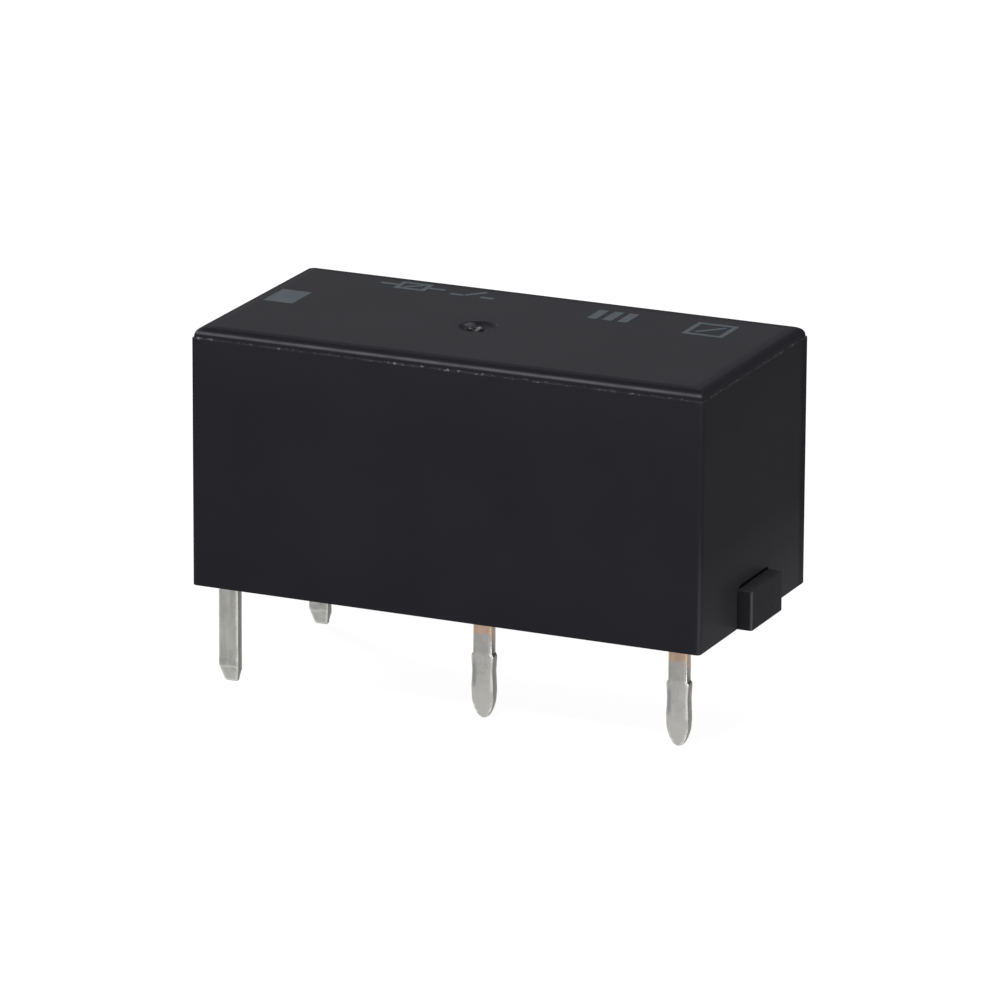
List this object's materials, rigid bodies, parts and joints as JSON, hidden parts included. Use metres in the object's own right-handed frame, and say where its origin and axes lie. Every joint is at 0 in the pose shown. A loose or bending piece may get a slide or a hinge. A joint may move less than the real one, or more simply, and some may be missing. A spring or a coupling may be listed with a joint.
{
  "type": "pcb power relay",
  "caption": "Sealed subminiature power relay with a normally open contact, a moulded black cover and blade terminals for a printed circuit board.",
  "frame": {"origin": "centre of the seating face, where the cover's rim and the base's island rest on the circuit board", "axes": "+Z away from the board, +X from the coil end to the contact end, +Y to the rear coil terminal"},
  "size_m": [0.0206, 0.0098, 0.0135],
  "materials": {
    "cover_black": "fine satin moulded black",
    "base_black": "moulded black",
    "sealing_resin": "cured resin, slightly glossy",
    "tinned_copper": "dull tin plate",
    "copper_alloy": "bare copper alloy, tinned below the neck",
    "plated_iron": "nickel plated",
    "bobbin_nylon": "natural moulded",
    "enamelled_copper": "enamelled",
    "polyester_tape": "glossy film",
    "spring_bronze": "rolled strip",
    "silver_contact": "bright silver alloy",
    "card_plastic": "natural moulded"
  },
  "bodies": {
    "relay_body": {"cover": "cover_black", "base": "base_black", "epoxy_seal": "sealing_resin", "coil_terminal_front": "tinned_copper", "coil_terminal_rear": "tinned_copper", "fixed_contact_terminal": "copper_alloy", "moving_contact_terminal": "copper_alloy", "yoke": "plated_iron", "core": "plated_iron", "bobbin": "bobbin_nylon", "coil_winding": "enamelled_copper", "coil_tape": "polyester_tape", "coil_lead_front": "enamelled_copper", "coil_lead_rear": "enamelled_copper", "hinge_spring": "spring_bronze", "yoke_rivet_front": "plated_iron", "yoke_rivet_rear": "plated_iron", "fixed_contact": "silver_contact", "contact_spring": "spring_bronze", "spring_rivet": "copper_alloy"},
    "clapper": {"armature": "plated_iron", "armature_rivet": "plated_iron"},
    "card_slide_body": {"card": "card_plastic"},
    "contact_arm": {"moving_contact": "silver_contact"}
  },
  "joints": [
    {"name": "armature_pivot", "type": "hinge", "parent": "relay_body", "child": "clapper", "pos_m": [0.0021, 0, 0.00825], "axis": [0, 1, 0], "range_deg": [0, 4.5], "stiffness_Nm_per_rad": 0.002, "springref_deg": -9.74, "deforming": ["hinge_spring"]},
    {"name": "card_slide", "type": "slide", "parent": "relay_body", "child": "card_slide_body", "axis": [0, 0, -1], "range_m": [0, 0.00026]},
    {"name": "contact_swing", "type": "hinge", "parent": "relay_body", "child": "contact_arm", "pos_m": [0.0071, 0, 0.00287], "axis": [0, -1, 0], "range_deg": [0, 8.75], "deforming": ["contact_spring"]}
  ],
  "couplings": [
    {"joint": "card_slide", "follows": "armature_pivot", "m_per_rad": 0.0033},
    {"joint": "contact_swing", "follows": "armature_pivot", "ratio": 1.9412}
  ]
}
